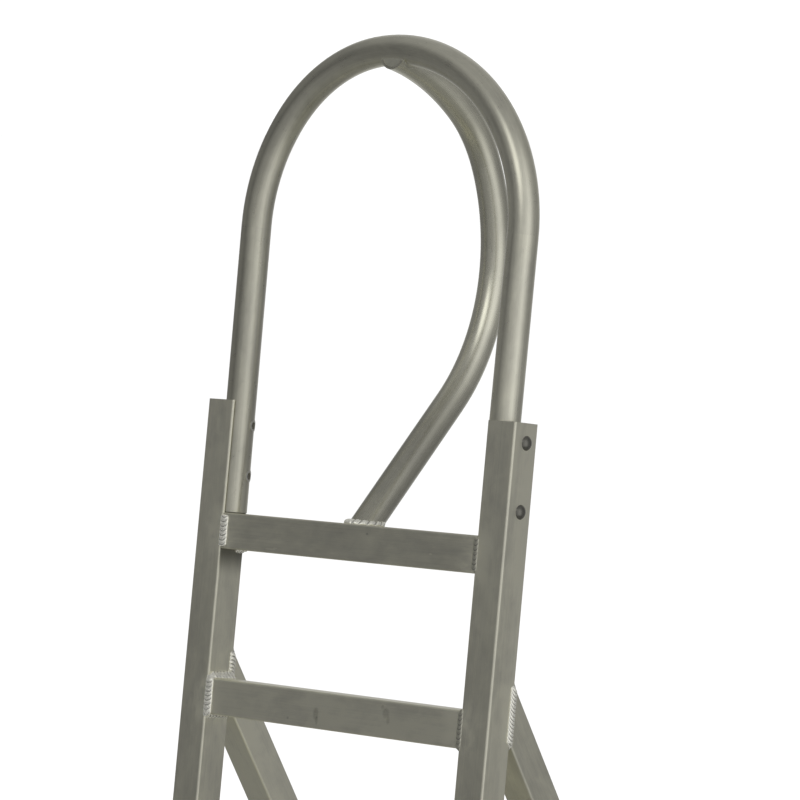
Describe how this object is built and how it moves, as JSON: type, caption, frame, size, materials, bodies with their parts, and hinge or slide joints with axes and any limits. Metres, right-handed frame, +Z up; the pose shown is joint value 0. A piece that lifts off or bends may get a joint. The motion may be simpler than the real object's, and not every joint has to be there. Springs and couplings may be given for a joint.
{
  "type": "boarding ladder",
  "caption": "Free-standing aluminium boarding ladder: square-tube stiles and rungs, raked rear legs, round hoop handrail with rear grab tube, swivel feet.",
  "frame": {"origin": "on the ground, at the middle of the footprint", "axes": "+X across the ladder to the right as the climber faces it, +Y away from the climber towards the rear legs, +Z up"},
  "size_m": [0.4614, 0.6092, 1.4298],
  "materials": {
    "square_tube": "satin mill finish with fine die lines and handling scratches",
    "round_tube": "satin, brushed along the tube",
    "weld_metal": "bright rippled bead",
    "shoe_plate": "satin pressed plate",
    "fastener_steel": "smooth, slightly dark",
    "rubber": "matte moulded"
  },
  "bodies": {
    "frame": {"stile_left": "square_tube", "stile_right": "square_tube", "rung_1": "square_tube", "rung_2": "square_tube", "rung_3": "square_tube", "rung_4": "square_tube", "rung_5": "square_tube", "handrail_hoop": "round_tube", "rear_grab_tube": "round_tube", "rear_leg_left": "square_tube", "rear_leg_right": "square_tube", "rear_cross_tube": "square_tube", "side_tie_left": "square_tube", "side_tie_right": "square_tube", "rail_bolt_left_upper": "fastener_steel", "rail_bolt_left_lower": "fastener_steel", "rail_bolt_right_upper": "fastener_steel", "rail_bolt_right_lower": "fastener_steel", "rail_insert_left_upper": "fastener_steel", "rail_insert_left_lower": "fastener_steel", "rail_insert_right_upper": "fastener_steel", "rail_insert_right_lower": "fastener_steel", "pin_front_left": "fastener_steel", "pin_front_right": "fastener_steel", "pin_rear_left": "fastener_steel", "pin_rear_right": "fastener_steel", "nut_front_left": "fastener_steel", "nut_front_right": "fastener_steel", "nut_rear_left": "fastener_steel", "nut_rear_right": "fastener_steel", "weld_rung_1_left": "weld_metal", "weld_rung_1_right": "weld_metal", "weld_rung_2_left": "weld_metal", "weld_rung_2_right": "weld_metal", "weld_rung_3_left": "weld_metal", "weld_rung_3_right": "weld_metal", "weld_rung_4_left": "weld_metal", "weld_rung_4_right": "weld_metal", "weld_rung_5_left": "weld_metal", "weld_rung_5_right": "weld_metal", "weld_leg_left": "weld_metal", "weld_leg_right": "weld_metal", "weld_cross_left": "weld_metal", "weld_cross_right": "weld_metal", "weld_grab_crown": "weld_metal", "weld_grab_foot": "weld_metal"},
    "foot_front_left": {"shoe_front_left": "shoe_plate", "pad_front_left": "rubber"},
    "foot_front_right": {"shoe_front_right": "shoe_plate", "pad_front_right": "rubber"},
    "foot_rear_left": {"shoe_rear_left": "shoe_plate", "pad_rear_left": "rubber"},
    "foot_rear_right": {"shoe_rear_right": "shoe_plate", "pad_rear_right": "rubber"}
  },
  "joints": [
    {"name": "foot_front_left_pivot", "type": "hinge", "parent": "frame", "child": "foot_front_left", "pos_m": [-0.20195, -0.25459, 0.037], "axis": [1, 0, 0], "range_deg": [-49, 33]},
    {"name": "foot_front_right_pivot", "type": "hinge", "parent": "frame", "child": "foot_front_right", "pos_m": [0.20195, -0.25459, 0.037], "axis": [1, 0, 0], "range_deg": [-49, 33]},
    {"name": "foot_rear_left_pivot", "type": "hinge", "parent": "frame", "child": "foot_rear_left", "pos_m": [-0.20195, 0.25459, 0.037], "axis": [1, 0, 0], "range_deg": [-11, 71]},
    {"name": "foot_rear_right_pivot", "type": "hinge", "parent": "frame", "child": "foot_rear_right", "pos_m": [0.20195, 0.25459, 0.037], "axis": [1, 0, 0], "range_deg": [-11, 71]}
  ]
}
